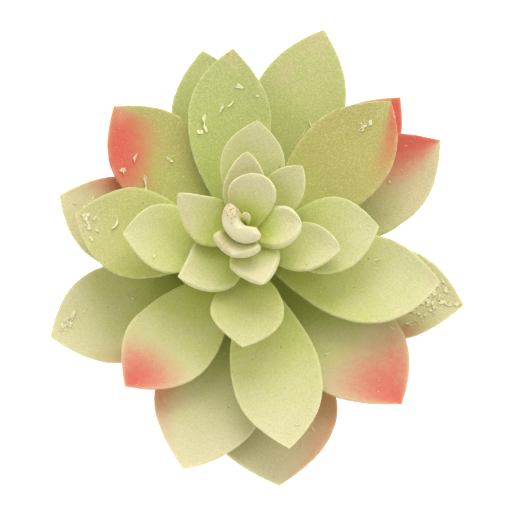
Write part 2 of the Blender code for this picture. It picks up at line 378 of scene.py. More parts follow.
# spots of blush on a leaf: where each is strongest along the leaf and across it (+1 is the left
# edge), how far it spreads each way, and how strong it is
BLUSH = {
    "skirt_leaf_1": [(0.74, 0.95, 0.38, 0.7, 0.42)],
    "skirt_leaf_2": [(0.92, -0.3, 0.55, 1.35, 1.35)],
    "skirt_leaf_3": [(0.6, 0.95, 0.25, 0.4, 0.4)],
    "skirt_leaf_4": [(0.7, -0.95, 0.18, 0.5, 0.55)],
    "skirt_leaf_6": [(0.66, -0.9, 0.3, 0.65, 0.75)],
    "lower_leaf_1": [(0.66, -0.95, 0.3, 0.5, 0.45)],
    "lower_leaf_2": [(0.9, 0.65, 0.4, 1.05, 1.1)],
    "lower_leaf_3": [(1.0, -0.05, 0.38, 1.3, 1.05), (0.8, 0.8, 0.2, 0.5, 0.2)],
    "lower_leaf_5": [(0.97, 0.1, 0.34, 0.75, 0.9), (0.76, 0.76, 0.25, 0.7, 1.0)],
    "lower_leaf_6": [(0.98, -0.8, 0.34, 0.55, 0.75)],
    "middle_leaf_1": [(1.0, 0.05, 0.32, 1.45, 1.15)],
}

# where old wax has scarred brown: place, spread and strength, in the same order
STAIN = {
    "lower_leaf_4": [(0.97, 0.2, 0.11, 0.9, 0.8), (0.78, 0.55, 0.1, 0.22, 0.7)],
    "lower_leaf_5": [(0.96, -0.1, 0.07, 0.8, 0.7)],
    "middle_leaf_2": [(0.97, 0.1, 0.08, 0.8, 0.7)],
    "middle_leaf_4": [(0.97, 0.1, 0.05, 0.6, 0.6)],
    "middle_leaf_5": [(0.95, 0.3, 0.09, 0.9, 0.8)],
    "crown_leaf_4": [(0.9, 0.8, 0.3, 0.5, 0.7)],
    "crown_leaf_5": [(0.6, 0.9, 0.45, 0.3, 0.6)],
    "heart_leaf_3": [(0.6, 0.9, 0.45, 0.28, 0.6)],
    "heart_leaf_1": [(0.95, -0.3, 0.12, 0.7, 0.4)],
    "bud_leaf_1": [(0.85, -0.75, 0.35, 0.5, 1.1)],
    "bud_leaf_2": [(0.7, -0.9, 0.6, 0.45, 1.25)],
}

SPOT_FADES_AT = 1.3             # times its spread
STRONGEST_SPOT = 1.4            # spots that overlap add up to less than this


def spot_at(spots, name, t, side):
    """How strong the soft round spots are here: blush where the sun caught the leaf, or scars."""
    total = 0.0
    for centre, across, length, breadth, strength in spots.get(name, ()):
        distance = math.hypot((t - centre) / length, (side - across) / breadth)
        total += strength * (1.0 - soft_step(0.0, SPOT_FADES_AT, distance))
    return STRONGEST_SPOT * (1.0 - math.exp(-total))


print("blushed leaves:", len(BLUSH), "scarred leaves:", len(STAIN))

# %% [markdown]
# ## Building a leaf
#
# The skin is one closed tube of rings. Rings lie closer together at both ends, where the outline
# turns fastest. The root is closed by a fan of triangles, and the tip by another one on the point.

# %% Closed tubes
def tube_faces(rings, around, flip=False):
    """The faces of a closed tube: rings of points, then one point for each end."""
    faces = []
    for ring in range(rings - 1):
        for step in range(around):
            here, after = ring * around + step, ring * around + (step + 1) % around
            faces.append((here, after, after + around, here + around))
    first, last, base = rings * around, rings * around + 1, (rings - 1) * around
    for step in range(around):
        after = (step + 1) % around
        faces.append((first, after, step))
        faces.append((last, base + step, base + after))
    return [tuple(reversed(face)) for face in faces] if flip else faces


def skin_mesh(name, points, faces):
    """A smooth mesh."""
    made = bpy.data.meshes.new(name)
    made.from_pydata(points, [], faces)
    made.shade_smooth()
    return made


print("faces of a tube of 3 rings of 4 points:", len(tube_faces(3, 4)))

# %% Sweep the section into a mesh
FACTS = ("along", "rim", "age", "dulled_and_shaded", "bloom", "blush", "stain")
RING_STEP = 0.5 * MM
FEWEST_RINGS = 40
AROUND = 88
RIM_WIDTH = 0.9 * MM
ROOT_SUNK = ROOT_GAP + 0.5 * MM         # the root runs this far back, into the stem
POINTED = (14.0 * MM, 20.0 * MM)        # a leaf of the first width has no hard point


def leaf_mesh(leaf):
    """The leaf's skin, with its colour facts stored on the vertices."""
    points, facts = [], {fact: [] for fact in FACTS}
    rings = max(FEWEST_RINGS, int(leaf.length / RING_STEP))

    def add(point, t, side):
        to_edge = min(leaf.half_width(t) * (1.0 - abs(side)), 0.8 * leaf.length * (1.0 - t))
        points.append(point)
        own = [table.get(leaf.name, 0.0) for table in (LEAF_AGE, DULLED_AND_SHADED, BLOOM)]
        spots = [spot_at(table, leaf.name, t, side) for table in (BLUSH, STAIN)]
        for name, value in zip(FACTS, (t, math.exp(-to_edge / RIM_WIDTH), *own, *spots)):
            facts[name].append(value)

    start = -ROOT_SUNK / leaf.length
    for ring in range(rings):
        t = start + (1.0 - start) * (0.5 - 0.5 * math.cos(math.pi * ring / rings))
        for step in range(AROUND):
            angle = FULL_TURN * step / AROUND
            add(living_point(leaf, t, angle), t, math.cos(angle))
    point_way = (leaf.tip - leaf.path(0.97)).normalized()
    add(leaf.path(start), 0.0, 0.0)
    pointed = POINT_LENGTH * soft_step(*POINTED, leaf.width)
    add(leaf.tip + point_way * pointed, 1.0, 0.0)

    outward = [(face[0], *reversed(face[1:])) for face in tube_faces(rings, AROUND)]
    mesh = skin_mesh(leaf.name + "_skin", points, outward)
    for name, values in facts.items():
        mesh.attributes.new(name, "FLOAT", "POINT").data.foreach_set("value", values)
    return mesh


def volume_ml(mesh):
    """The mesh's signed volume in millilitres. A negative one would mean that it is inside out."""
    body = bmesh.new()
    body.from_mesh(mesh)
    held = body.calc_volume(signed=True) * 1e6
    body.free()
    return held


sample = leaf_mesh(Leaf("middle_leaf_3"))
print("one leaf:", len(sample.vertices), "vertices,", round(volume_ml(sample), 2), "ml")

# %% [markdown]
# ## The skin of a leaf
#
# The skin is waxy and a little translucent, dusted with a fine bloom that sparkles in close view.
# One material serves every leaf, because the facts on the mesh already say how each one differs.
# Green deepens towards the root and pales to cream at the rim, straw comes with age, and the blush is
# broken up by a fine noise so that it reads as pigment in the skin and not as paint.

# %% Values in a node tree
def wire(value, socket):
    """Links an output to this input, or writes a plain number or colour into it."""
    if isinstance(value, bpy.types.NodeSocket):
        value.id_data.links.new(value, socket)
    elif isinstance(value, tuple) and len(socket.default_value) == len(value) + 1:
        socket.default_value = (*value, 1.0)
    else:
        socket.default_value = value


def math_node(operation, first, second, clamp=False):
    """A Math node beside whichever of the two values is an output."""
    tree = (first if isinstance(first, bpy.types.NodeSocket) else second).id_data
    made = tree.nodes.new("ShaderNodeMath")
    made.operation = operation
    made.use_clamp = clamp
    wire(first, made.inputs[0])
    wire(second, made.inputs[1])
    return made.outputs[0]


def times(first, second, clamp=False):
    return math_node("MULTIPLY", first, second, clamp)


def plus(first, second):
    return math_node("ADD", first, second)


def minus(first, second):
    return math_node("SUBTRACT", first, second)


def mix(factor, first, second):
    """A colour Mix node. factor is an output, and a colour is an output or three numbers."""
    made = factor.id_data.nodes.new("ShaderNodeMix")
    made.data_type = "RGBA"
    made.clamp_factor = True
    wire(factor, made.inputs["Factor"])
    ends = [s for s in made.inputs if s.type == "RGBA"]
    wire(first, ends[0])
    wire(second, ends[1])
    return [s for s in made.outputs if s.type == "RGBA"][0]


def ramp(value, low, high):
    """Stretches value so that low becomes 0 and high becomes 1, smoothly."""
    made = value.id_data.nodes.new("ShaderNodeMapRange")
    made.interpolation_type = "SMOOTHSTEP"
    wire(low, made.inputs["From Min"])
    wire(high, made.inputs["From Max"])
    wire(value, made.inputs["Value"])
    return made.outputs["Result"]


print("joins two values:", times.__name__, plus.__name__, minus.__name__, mix.__name__)

# %% Patterns and the finished shader
# short names for the shader's inputs
INPUTS = {"Specular": "Specular IOR Level", "Flesh": "Subsurface Weight",
          "Flesh_colour": "Subsurface Radius", "Flesh_depth": "Subsurface Scale",
          "Sheen": "Sheen Weight", "Sheen_spread": "Sheen Roughness"}


def fact(tree, name):
    """A number that was stored on the mesh."""
    made = tree.nodes.new("ShaderNodeAttribute")
    made.attribute_name = name
    return made.outputs["Fac"]


def pattern(tree, kind, size):
    """A texture node whose blobs or cells are about `size` metres across on the object."""
    made = tree.nodes.new(kind)
    wire(1.0 / size, made.inputs["Scale"])
    wire(tree.nodes.new("ShaderNodeTexCoord").outputs["Object"], made.inputs["Vector"])
    return made


def noise_node(tree, size, detail=2.0, roughness=0.5):
    made = pattern(tree, "ShaderNodeTexNoise", size)
    wire(detail, made.inputs["Detail"])
    wire(roughness, made.inputs["Roughness"])
    return made.outputs["Fac"]


def lone_specks(tree, size, full, gone, kept):
    """A round speck in the middle of some cells: its full and fading radius, and which cells."""
    cells = pattern(tree, "ShaderNodeTexVoronoi", size)
    speck = minus(1.0, ramp(cells.outputs["Distance"], full, gone))
    return times(speck, math_node("GREATER_THAN", cells.outputs["Color"], kept))


def dress(shader, colour, height, depth, strength, **settings):
    """Wires the colour and a bump of this height to the shader, and sets its other inputs."""
    wire(colour, shader.inputs["Base Color"])
    bump = height.id_data.nodes.new("ShaderNodeBump")
    wire(strength, bump.inputs["Strength"])
    wire(depth, bump.inputs["Distance"])
    wire(height, bump.inputs["Height"])
    wire(bump.outputs["Normal"], shader.inputs["Normal"])
    for name, value in settings.items():
        wire(value, shader.inputs[INPUTS.get(name, name)])


print("inputs with a short name:", len(INPUTS))

# %% Leaf skin material
ROOT_GREEN = (0.43, 0.47, 0.055)
BLADE_GREEN = (0.53, 0.58, 0.14)
FRESH_GREEN = (0.37, 0.43, 0.085)
TIP_CREAM = (0.59, 0.58, 0.28)
# a darker olive: partly the leaf's own colour, partly painted shade
OLIVE_AND_SHADE = (0.43, 0.38, 0.09)
DEEP_OLIVE = (0.3, 0.3, 0.08)
THICK_BLOOM = (0.71, 0.64, 0.41)
STRAW = (0.6, 0.5, 0.28)
PALE_BLOOM = (0.73, 0.7, 0.42)
FROSTED_PINK = (0.78, 0.38, 0.28)
CORAL = (0.63, 0.085, 0.055)
SCAR_BEIGE = (0.6, 0.46, 0.26)
SPECK_BROWN = (0.2, 0.13, 0.05)

leaf_skin, tree, shader = node_material("leaf_skin")
along, rim, age, dulled_and_shaded, bloom, blush, stain = (fact(tree, n) for n in FACTS)
fine = noise_node(tree, 0.42 * MM, 2.0, 0.75)
cloud = noise_node(tree, 6.0 * MM, 3.0)
patch = noise_node(tree, 1.6 * MM, 3.0)
growth = minus(plus(along, times(cloud, 0.4)), 0.08)
colour = mix(ramp(growth, 0.2, 0.65), ROOT_GREEN, BLADE_GREEN)
colour = mix(ramp(growth, 0.6, 1.15), colour, TIP_CREAM)
aged = times(age, ramp(growth, 0.45, 0.95), clamp=True)
colour = mix(aged, colour, STRAW)
fresh = times(age, -0.8, clamp=True)
colour = mix(fresh, colour, FRESH_GREEN)
# partly the leaf's own duller olive, partly painted shade on leaves that face away from the light
colour = mix(times(dulled_and_shaded, ramp(growth, 0.25, 0.75)), colour, OLIVE_AND_SHADE)
settled = times(bloom, ramp(growth, 0.35, 1.0), clamp=True)
colour = mix(settled, colour, THICK_BLOOM)
dust = times(ramp(fine, 0.44, 0.68), plus(0.12, times(along, 0.33)))
colour = mix(dust, colour, PALE_BLOOM)
pits = times(minus(1.0, ramp(fine, 0.3, 0.52)), 0.18)
colour = mix(pits, colour, DEEP_OLIVE)
pigment = plus(blush, times(minus(fine, 0.5), 0.9))
pigment = plus(pigment, times(minus(patch, 0.5), 0.25))
pigment = times(ramp(pigment, 0.0, 1.05), ramp(blush, 0.0, 0.12))
colour = mix(pigment, colour, CORAL)
frost = times(ramp(fine, 0.44, 0.66), times(pigment, 0.26))
colour = mix(frost, colour, FROSTED_PINK)
powder = times(ramp(patch, 0.34, 0.68), 0.34)
powder = times(ramp(rim, 0.1, 1.0), powder)
colour = mix(powder, colour, PALE_BLOOM)
colour = mix(times(stain, 0.55), colour, SCAR_BEIGE)

# lone dark specks anywhere, and a crowd of smaller ones on a scar
speck = lone_specks(tree, 3.6 * MM, 0.03, 0.075, 0.5)
crowd_map = pattern(tree, "ShaderNodeTexVoronoi", 0.62 * MM)
torn = plus(crowd_map.outputs["Distance"], times(fine, 0.5))
crowd = times(ramp(minus(times(stain, 0.74), torn), 0.0, 0.2), 0.8)
colour = mix(math_node("MAXIMUM", times(speck, 0.7), crowd), colour, SPECK_BROWN)
dress(shader, colour, fine, 0.1 * MM, 0.9, Roughness=plus(0.45, times(fine, 0.25)), Specular=0.3,
      Flesh=0.35, Flesh_colour=(0.9, 1.0, 0.35), Flesh_depth=1.2 * MM, Sheen=0.2, Sheen_spread=0.5)
print("leaf skin:", len(tree.nodes), "nodes")


# %% Grow the rosette
def show(name, mesh, skin, slot, *replaced):
    """Puts a mesh in the scene as a piece that rides on the pot's body and stands for CAD nodes."""
    piece = add_object(name, mesh)
    mesh.materials.append(skin)
    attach(piece, "root")
    if replaced:
        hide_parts(*replaced)
    return piece


worst = 0.0
for name in LEAVES:
    mesh = leaf_mesh(Leaf(name))
    piece = show(name + "_live", mesh, leaf_skin, "leaf", name)
    low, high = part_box(name)
    for axis in range(3):
        places = [v.co[axis] for v in mesh.vertices]
        worst = max(worst, abs(min(places) - low[axis]), abs(max(places) - high[axis]))
    if volume_ml(mesh) <= 0.0:
        print("inside out:", name)
print("largest difference between a side of a living leaf's box and its CAD box, mm:", round(worst / MM, 2))

# %% [markdown]
# ## Wax that the leaves have shed
#
# The bloom on a leaf is wax. As the leaf swells, old wax lets go in thin curls, lifts in flakes, and
# crumbs of it lie everywhere. Particles scattered by a modifier would fall at random, but a few large
# curls and crusts are what the eye notices, so these are laid one by one, each at its own place on its
# own leaf. Only the crumbs, and the flakes within a crust, are left to chance. Every piece is a thin
# closed body that follows the skin under it.

# %% Walking on a leaf's skin
def on_skin(leaf, t, side):
    """A point of the upper skin, and the way that the skin faces there."""
    t, side = min(0.985, max(0.02, t)), min(0.97, max(-0.97, side))
    angle = math.acos(math.copysign(abs(side) ** (1.0 / SIDE_POWER), side))
    across, up = leaf.frame(t)
    roll = 2.0 * leaf.cup * side
    return living_point(leaf, t, angle), up * math.cos(roll) - across * math.sin(roll)


def step_on(leaf, t, side, distance, heading):
    """Where a walk of this length, at this heading from the leaf's own line, ends."""
    half = max(leaf.half_width(t), 1.5 * MM)
    return t + distance * math.cos(heading) / leaf.length, side + distance * math.sin(heading) / half


class Heap:
    """Collects many small closed bodies into one mesh."""

    def __init__(self):
        self.points, self.faces, self.tints = [], [], []

    def add(self, points, faces, tint=0.0):
        start = len(self.points)
        self.points += points
        self.tints += [tint] * len(points)
        self.faces += [tuple(start + corner for corner in face) for face in faces]

    def mesh(self, name):
        made = skin_mesh(name, self.points, self.faces)
        made.attributes.new("tint", "FLOAT", "POINT").data.foreach_set("value", self.tints)
        return made


print("walk of 3 mm:", [round(v, 3) for v in step_on(Leaf("lower_leaf_5"), 0.5, 0.0, 3 * MM, 0.8)])

# %% Curls and flakes
CURL_RINGS = 16
CURL_AROUND = 8
CURL_THICK = 0.07 * MM
# share of the flake's half width, and height over the skin in millimetres
FLAKE_RINGS = ((0.6, 0.16), (0.96, 0.2), (1.0, 0.15), (0.93, 0.08), (0.5, 0.0))
FLAKE_AROUND = 14


def add_curl(heap, leaf, t, side, length, width, heading, bend, lift):
    """A ribbon of wax that lies along the skin and lifts off it at its ends."""
    points, ends = [], []
    here_t, here_side, way = t, side, math.radians(heading)
    for ring in range(CURL_RINGS):
        share = ring / (CURL_RINGS - 1)
        spot, normal = on_skin(leaf, here_t, here_side)
        ahead = on_skin(leaf, *step_on(leaf, here_t, here_side, 0.3 * MM, way))[0] - spot
        ahead = (ahead - normal * ahead.dot(normal)).normalized()
        flat = normal.cross(ahead)
        rise = (0.1 + lift * abs(2.0 * share - 1.0) ** 2.0) * MM
        middle = spot + normal * rise
        tilt = 0.9 * math.sin(5.0 * share + heading)
        half = 0.5 * width * MM * max(0.08, math.sin(math.pi * share)) ** 0.6
        half *= 1.0 + 0.7 * noise.noise(Vector((heading, 7.0 * share, side)))
        for step in range(CURL_AROUND):
            angle = FULL_TURN * step / CURL_AROUND
            out, thick = half * math.cos(angle), CURL_THICK * math.sin(angle)
            points.append(middle + (flat * math.cos(tilt) + normal * math.sin(tilt)) * out
                          + (normal * math.cos(tilt) - flat * math.sin(tilt)) * thick)
        if ring in (0, CURL_RINGS - 1):
            ends.append(middle + ahead * half * (1.0 if ring else -1.0))
        here_t, here_side = step_on(leaf, here_t, here_side, length * MM / CURL_RINGS, way)
        way += math.radians(bend) / CURL_RINGS
    heap.add(points + ends, tube_faces(CURL_RINGS, CURL_AROUND), spot_at(BLUSH, leaf.name, t, side))


def add_flake(heap, leaf, t, side, size, seed):
    """A thin uneven plate of wax whose edges have come loose."""
    points = []
    for reach, rise in FLAKE_RINGS:
        for step in range(FLAKE_AROUND):
            angle = FULL_TURN * step / FLAKE_AROUND
            ragged = 1.0 + 0.9 * noise.noise(Vector((seed, 1.9 * math.cos(angle), 1.9 * math.sin(angle))))
            ragged *= 1.0 - 0.45 * math.cos(angle - seed) ** 2.0
            spot, normal = on_skin(leaf, *step_on(leaf, t, side, 0.5 * size * MM * reach * ragged, angle))
            loose = 0.12 * max(0.0, noise.noise(Vector((angle, seed, 3.0)))) * reach
            points.append(spot + normal * (rise + loose) * MM)
    spot, normal = on_skin(leaf, t, side)
    points += [spot + normal * 0.13 * MM, spot - normal * 0.02 * MM]
    heap.add(points, tube_faces(len(FLAKE_RINGS), FLAKE_AROUND, True), spot_at(BLUSH, leaf.name, t, side))


print("points in a curl:", CURL_RINGS * CURL_AROUND + 2,
      "and in a flake:", len(FLAKE_RINGS) * FLAKE_AROUND + 2)

# %% Lay the wax
# on each leaf: share along it, side, length and width in millimetres, heading in degrees, bend and lift
CURLS = {
    "lower_leaf_5": [(0.72, 0.3, 2.6, 0.9, 95, 70, 0.5), (0.6, 0.5, 4.2, 1.35, 165, -50, 0.6),
                     (0.61, -0.15, 2.4, 1.08, 175, 40, 0.4), (0.7, 0.72, 1.8, 1.08, 120, 30, 0.3)],
    "middle_leaf_5": [(0.76, -0.3, 4.4, 0.81, 130, -95, 0.6), (0.58, -0.55, 2.2, 0.63, 170, -70, 0.4)],
    "middle_leaf_2": [(0.66, 0.6, 4.8, 1.44, 172, 30, 0.4), (0.67, 0.25, 2.6, 0.63, -35, 25, 0.4),
                      (0.7, 0.05, 2.8, 0.63, -60, 45, 0.5)],
    "skirt_leaf_6": [(0.84, -0.1, 3.0, 0.81, -120, 50, 0.4)],
    "skirt_leaf_3": [(0.52, -0.15, 2.6, 0.9, -70, 60, 0.5)],
    "lower_leaf_4": [(0.6, -0.35, 4.6, 0.468, -160, 90, 0.5), (0.56, -0.3, 3.6, 0.396, -150, -70, 0.5),
                     (0.54, -0.55, 3.4, 0.396, 170, 95, 0.6)],
    "lower_leaf_6": [(0.82, 0.22, 2.2, 0.54, -95, -120, 0.5)],
    "lower_leaf_3": [(0.56, -0.45, 1.6, 0.63, 30, 60, 0.4), (0.68, 0.85, 1.8, 0.63, 15, 40, 0.5)],
    "skirt_leaf_1": [(0.74, 0.62, 2.2, 0.54, 20, 50, 0.4), (0.8, 0.5, 1.6, 0.45, -20, 70, 0.4)],
    "middle_leaf_3": [(0.88, 0.35, 1.4, 0.63, 60, 30, 0.3)],
    "middle_leaf_4": [(0.64, 0.45, 2.2, 0.54, 15, 30, 0.3)],
    "inner_leaf_2": [(0.72, 0.55, 1.6, 0.504, 50, 40, 0.3)],
}
# leaf, share along it, side and size in millimetres
FLAKES = (
    ("middle_leaf_2", 0.81, -0.28, 1.9), ("middle_leaf_2", 0.57, 0.72, 1.6),
    ("lower_leaf_5", 0.7, 0.8, 1.5), ("lower_leaf_5", 0.58, 0.85, 1.3),
    ("middle_leaf_5", 0.93, 0.05, 1.6), ("middle_leaf_5", 0.88, -0.1, 1.2),
    ("middle_leaf_2", 0.76, -0.75, 0.9), ("skirt_leaf_3", 0.92, -0.3, 1.4),
    ("lower_leaf_2", 0.7, -0.1, 1.0),
)
# where old wax has crusted over a whole patch: leaf, share along, side, its length as a share, its
# breadth across, and how many flakes
CRUSTS = (
    ("skirt_leaf_4", 0.84, 0.05, 0.11, 0.5, 70), ("skirt_leaf_4", 0.8, -0.45, 0.07, 0.3, 16),
    ("skirt_leaf_3", 0.88, -0.3, 0.07, 0.3, 20), ("middle_leaf_5", 0.92, 0.15, 0.06, 0.5, 12),
    ("skirt_leaf_6", 0.84, -0.1, 0.07, 0.3, 8), ("lower_leaf_6", 0.8, 0.15, 0.07, 0.2, 7),
)
CRUST_FLAKE = (0.45, 1.9)      # the smallest and largest flake of a crust, in millimetres

wax = Heap()
for name, curls in CURLS.items():
    for how in curls:
        add_curl(wax, Leaf(name), *how)
for number, (name, t, side, size) in enumerate(FLAKES):
    add_flake(wax, Leaf(name), t, side, size, 3.1 * number)
draw = random.Random(5)
for name, t, side, length, breadth, count in CRUSTS:
    for _ in range(count):
        strays = [max(-1.6, min(1.6, draw.gauss(0.0, 0.6))) for _ in range(2)]
        size = CRUST_FLAKE[0] + (CRUST_FLAKE[1] - CRUST_FLAKE[0]) * draw.random() ** 2.0
        spot = (t + length * strays[0], side + breadth * strays[1])
        add_flake(wax, Leaf(name), *spot, size, 40.0 * draw.random())
print("wax:", sum(map(len, CURLS.values())), "curls,", len(FLAKES), "flakes and",
      sum(crust[-1] for crust in CRUSTS), "in crusts")

# %% Crumbs of wax
CRUMB_RINGS = ((0.75, 0.35), (1.0, -0.05), (0.7, -0.5))
CRUMB_AROUND = 6
CRUMB_SIZE = (0.08, 0.22)       # radii in millimetres
CRUMBS_PER_CM2 = 2.5


def add_crumb(heap, place, normal, radius, seed, tint):
    """A grain of wax, with no two sides alike."""
    side_way = normal.orthogonal().normalized()
    other_way = normal.cross(side_way)
    points = []
    for reach, rise in CRUMB_RINGS:
        for step in range(CRUMB_AROUND):
            angle = FULL_TURN * step / CRUMB_AROUND
            uneven = 1.0 + 0.5 * noise.noise(Vector((seed, math.cos(angle), 2.0 * math.sin(angle) + rise)))
            flat = side_way * math.cos(angle) + other_way * math.sin(angle)
            points.append(place + (flat * reach * uneven + normal * rise) * radius)
    points += [place + normal * 0.75 * radius, place - normal * 0.8 * radius]
    heap.add(points, tube_faces(len(CRUMB_RINGS), CRUMB_AROUND, True), tint)


BLADE_FILLS = 0.7               # the blade's area as a share of its length times its width
crumbs = Heap()
for name in LEAVES:
    leaf = Leaf(name)
    for _ in range(int(CRUMBS_PER_CM2 * leaf.length * leaf.width * BLADE_FILLS * 1e4)):
        t, side = 0.25 + 0.72 * draw.random() ** 0.7, draw.uniform(-0.95, 0.95)
        place, normal = on_skin(leaf, t, side)
        radius = (CRUMB_SIZE[0] + (CRUMB_SIZE[1] - CRUMB_SIZE[0]) * draw.random() ** 3.0) * MM
        add_crumb(crumbs, place, normal, radius, 50.0 * draw.random(), spot_at(BLUSH, name, t, side))
print("crumbs:", len(crumbs.points) // (len(CRUMB_RINGS) * CRUMB_AROUND + 2))

# %% Wax finish
WAX_CREAM = (0.8, 0.76, 0.42)
WAX_OLD = (0.68, 0.6, 0.28)
WAX_PINK = (0.72, 0.33, 0.22)

shed_wax, tree, shader = node_material("shed_wax")
mottle = noise_node(tree, 0.9 * MM, 3.0, 0.6)
colour = mix(ramp(mottle, 0.5, 0.85), WAX_CREAM, WAX_OLD)
colour = mix(times(fact(tree, "tint"), 0.65), colour, WAX_PINK)
dress(shader, colour, mottle, 0.05 * MM, 0.7, Roughness=0.5, Flesh=0.3, Flesh_colour=(1.0, 0.9, 0.5),
      Flesh_depth=0.6 * MM)
for name, heap in (("wax_shreds", wax), ("wax_crumbs", crumbs)):
    mesh = heap.mesh(name)
    show(name, mesh, shed_wax, "leaf")
    print(name, len(mesh.polygons), "faces,", round(volume_ml(mesh), 4), "ml")

# %% [markdown]
# ## The pot
#
# A small nursery pot is thrown or pressed in red earthenware and left unglazed. Its corners are
# rounded by the potter's sponge, faint rings run round its wall, its rim has a chip or two, and salts
# from the water bloom white where it dries. It could be a lathed profile with a Bevel modifier, but
# chips and rings need vertices of their own, so the profile is walked in small steps, its corners are
# softened by averaging, and each point is then moved by the wear it has had.

# %% The pot's profile
POT_FOOT_RADIUS = 20.5 * MM
POT_WALL = 3.0 * MM
POT_FLOOR = 4.5 * MM
COLLAR_HEIGHT = 12.0 * MM
COLLAR_TAPER = 1.0 * MM
COLLAR_STEP = 2.0 * MM
DRAIN_RADIUS = 4.0 * MM
EDGE = 0.8 * MM
pot_top, rim_radius = pot_high.z, (pot_high.x - pot_low.x) / 2


def inner_radius(height):
    """The inside of the pot's tapered wall at this height."""
    shoulder = rim_radius - COLLAR_TAPER - COLLAR_STEP
    slope = (shoulder - POT_FOOT_RADIUS) / (pot_top - COLLAR_HEIGHT - EDGE)
    return POT_FOOT_RADIUS + slope * (height - EDGE) - POT_WALL


def walk(corners, step, closed):
    """Points every `step` along a line of (radius, height) corners."""
    placed = []
    ends = list(zip(corners, corners[1:] + corners[:1] if closed else corners[1:]))
    for (r0, z0), (r1, z1) in ends:
        count = max(1, round(math.hypot(r1 - r0, z1 - z0) / step))
        placed += [(r0 + (r1 - r0) * k / count, z0 + (z1 - z0) * k / count) for k in range(count)]
    return placed if closed else placed + [corners[-1]]


def soften(line, times):
    """Rounds the corners of a closed line by averaging each point with its neighbours."""
    for _ in range(times):
        count = len(line)
        line = [tuple(0.25 * before + 0.5 * here + 0.25 * after for before, here, after in
                      zip(line[k - 1], line[k], line[(k + 1) % count])) for k in range(count)]
    return line


collar_foot = rim_radius - COLLAR_TAPER
pot_line = [
    (rim_radius, pot_top), (collar_foot, pot_top - COLLAR_HEIGHT),
    (collar_foot - COLLAR_STEP, pot_top - COLLAR_HEIGHT), (POT_FOOT_RADIUS, EDGE),
    (POT_FOOT_RADIUS - EDGE, 0.0), (DRAIN_RADIUS, 0.0), (DRAIN_RADIUS, POT_FLOOR),
    (inner_radius(POT_FLOOR), POT_FLOOR), (inner_radius(pot_top), pot_top),
]
pot_line = soften(walk(pot_line, 0.7 * MM, True), 3)
print("pot profile:", len(pot_line), "points")

# %% Turn the pot and wear it
POT_AROUND = 240
RING_PITCH = 2.3 * MM
RING_DEPTH = 0.09 * MM
POT_WOBBLE = 0.22 * MM
CLAY_GRAIN = 0.05 * MM
draw = random.Random(11)
# chips at the rim, the collar's lower edge and the foot: angle, radius, height and size
CHIP_PLACES = 6 * [(rim_radius, pot_top)] + 6 * [(collar_foot, pot_top - COLLAR_HEIGHT)]
CHIP_PLACES += 5 * [(POT_FOOT_RADIUS, 0.3 * MM)]
CHIPS = [(draw.uniform(0.0, FULL_TURN), *place, draw.uniform(0.9, 2.4) * MM) for place in CHIP_PLACES]


def worn(radius, height, turn):
    """A point of the pot's skin after throwing, firing and use."""
    way, up = spoke(turn), Vector((0.0, 0.0, height))
    wall = soft_step(1.0 * MM, 4.0 * MM, height)
    ring = math.sin(FULL_TURN * height / RING_PITCH + 1.5 * noise.noise(way + 40.0 * up))
    outside = 1.0 if radius > inner_radius(height) + 0.5 * POT_WALL else -0.6
    moved = radius + RING_DEPTH * ring * wall * outside
    moved += POT_WOBBLE * noise.noise(way * 1.2 + 25.0 * up)
    point = way * moved + up
    point += way * CLAY_GRAIN * noise.noise(point / (0.9 * MM)) * outside
    for chip_turn, chip_radius, chip_height, size in CHIPS:
        gap = point - spoke(chip_turn) * chip_radius - Vector((0.0, 0.0, chip_height))
        if gap.length < size:
            # the clay inside the chip's ball is pushed back into the wall
            depth = 0.45 * (size - gap.length) * (1.0 + 0.5 * noise.noise(point / (0.5 * MM)))
            point -= way * depth * 0.8
            point.z -= depth * 0.6 * (1.0 if chip_height > 0.5 * pot_top else -0.4)
    point.z = min(pot_top, max(0.0, point.z))
    return point


points = [worn(r, z, FULL_TURN * step / POT_AROUND) for r, z in pot_line for step in range(POT_AROUND)]
faces = []
for ring in range(len(pot_line)):
    for step in range(POT_AROUND):
        after, below = (step + 1) % POT_AROUND, (ring + 1) % len(pot_line)
        faces.append((ring * POT_AROUND + step, below * POT_AROUND + step,
                      below * POT_AROUND + after, ring * POT_AROUND + after))
pot_mesh = skin_mesh("turned_pot", points, faces)
print("pot:", len(faces), "faces,", round(volume_ml(pot_mesh), 1), "ml of clay")

# %% Clay finish
CLAY_RED = (0.5, 0.2, 0.105)
CLAY_PALE = (0.62, 0.31, 0.18)
CLAY_DARK = (0.3, 0.11, 0.055)
SALT = (0.78, 0.7, 0.62)
IRON = (0.12, 0.05, 0.03)


def height_in(tree):
    """The height above the table, from the object's own coordinates."""
    made = tree.nodes.new("ShaderNodeSeparateXYZ")
    wire(tree.nodes.new("ShaderNodeTexCoord").outputs["Object"], made.inputs["Vector"])
    return made.outputs["Z"]


fired_clay, tree, shader = node_material("fired_clay")
broad = noise_node(tree, 14.0 * MM, 4.0, 0.55)
grain = noise_node(tree, 0.8 * MM, 3.0, 0.7)
high = height_in(tree)
colour = mix(ramp(broad, 0.35, 0.65), CLAY_RED, CLAY_PALE)
colour = mix(times(ramp(grain, 0.5, 0.75), 0.35), colour, CLAY_DARK)
damp = plus(high, times(broad, 14.0 * MM))
damp = minus(1.0, ramp(damp, 6.0 * MM, 19.0 * MM))
colour = mix(times(damp, 0.55), colour, CLAY_DARK)
salt_line = minus(high, times(broad, 16.0 * MM))
salt = times(ramp(salt_line, 2.0 * MM, 16.0 * MM),
                 minus(1.0, ramp(salt_line, 18.0 * MM, 36.0 * MM)))
salt = times(salt, ramp(noise_node(tree, 5.0 * MM, 5.0, 0.7), 0.44, 0.7))
salt = times(salt, plus(0.25, ramp(grain, 0.35, 0.65)))
colour = mix(times(salt, 0.75, clamp=True), colour, SALT)
spot = lone_specks(tree, 3.0 * MM, 0.05, 0.11, 0.6)
colour = mix(times(spot, 0.8), colour, IRON)
